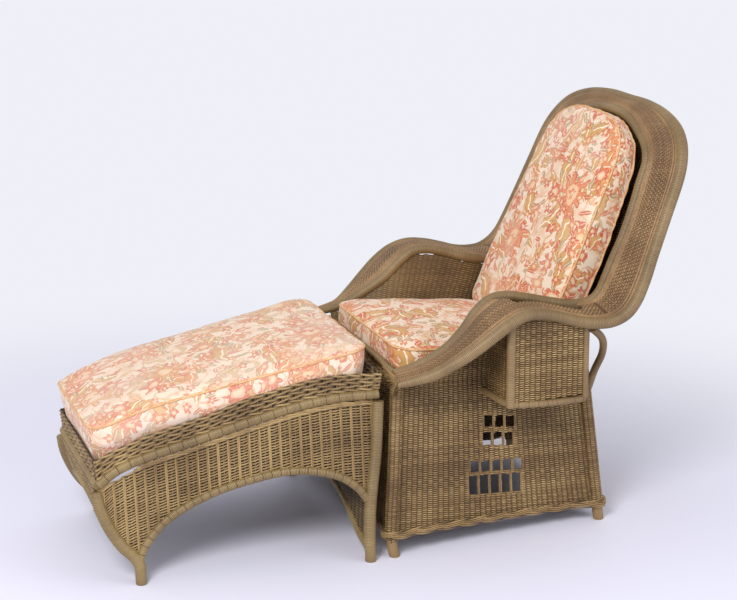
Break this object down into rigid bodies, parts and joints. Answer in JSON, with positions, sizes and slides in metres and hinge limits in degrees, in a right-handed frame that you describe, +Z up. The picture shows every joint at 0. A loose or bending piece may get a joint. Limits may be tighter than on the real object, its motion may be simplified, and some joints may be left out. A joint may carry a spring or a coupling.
{
  "type": "wicker lounge armchair with ottoman",
  "caption": "Woven wicker lounge armchair with a raked back, rolled rim, a magazine pocket under one arm, a separate matching ottoman and loose floral cushions.",
  "frame": {"origin": "On the floor, under the middle of the whole set's bounding box.", "axes": "+Z is up; the chair and ottoman face -Y; +X is the left of the person in the chair, the side with the pocket."},
  "size_m": [0.7798, 1.398, 0.9704],
  "materials": {
    "wicker": "painted woven willow, satin",
    "wrap": "painted poles wrapped with flat cane, satin",
    "fabric": "printed cotton with piped edges"
  },
  "bodies": {
    "chair": {"front_leg_right": "wrap", "rear_leg_right": "wrap", "front_leg_left": "wrap", "rear_leg_left": "wrap", "bottom_braid": "wicker", "rim_outer_roll": "wrap", "rim_inner_roll": "wrap", "front_rim": "wrap", "arm_band_right": "wicker", "arm_band_left": "wicker", "back_band": "wicker", "side_panel_right": "wicker", "arm_panel_right": "wicker", "side_panel_left": "wicker", "arm_panel_left": "wicker", "front_panel": "wicker", "rear_panel": "wicker", "front_border": "wicker", "seat_deck": "wicker", "seat_rail_right": "wrap", "seat_rail_left": "wrap", "seat_rail_front": "wrap", "seat_rail_rear": "wrap", "arm_gusset_right": "wicker", "arm_gusset_left": "wicker", "back_panel": "wicker", "back_brace_right": "wrap", "back_brace_left": "wrap", "pocket_front_post": "wrap", "pocket_rear_post": "wrap", "pocket_rail": "wrap", "pocket_outer_panel": "wicker", "pocket_front_panel": "wicker", "pocket_rear_panel": "wicker", "pocket_floor": "wicker", "seat_cushion": "fabric"},
    "back_cushion": {"back_cushion": "fabric"},
    "ottoman": {"ottoman_leg_chair_end_right": "wrap", "ottoman_leg_far_end_right": "wrap", "ottoman_rail_right": "wrap", "ottoman_arch_right": "wrap", "ottoman_leg_chair_end_left": "wrap", "ottoman_leg_far_end_left": "wrap", "ottoman_rail_left": "wrap", "ottoman_arch_left": "wrap", "ottoman_rail_chair_end": "wrap", "ottoman_rail_far_end": "wrap", "ottoman_arch_chair_end": "wrap", "ottoman_panel_chair_end": "wicker", "ottoman_arch_far_end": "wrap", "ottoman_panel_far_end": "wicker", "ottoman_panel_right": "wicker", "ottoman_panel_left": "wicker", "ottoman_gallery_right": "wicker", "ottoman_gallery_left": "wicker", "ottoman_gallery_chair_end": "wicker", "ottoman_gallery_far_end": "wicker", "ottoman_deck": "wicker"},
    "ottoman_cushion": {"ottoman_cushion": "fabric"}
  },
  "joints": [
    {"name": "back_cushion_lift", "type": "slide", "parent": "chair", "child": "back_cushion", "axis": [0, 0, 1], "range_m": [0, 0.2]},
    {"name": "ottoman_pull", "type": "slide", "parent": "chair", "child": "ottoman", "axis": [0, -1, 0], "range_m": [0, 0.5]},
    {"name": "ottoman_cushion_lift", "type": "slide", "parent": "ottoman", "child": "ottoman_cushion", "axis": [0, 0, 1], "range_m": [0, 0.15]}
  ]
}
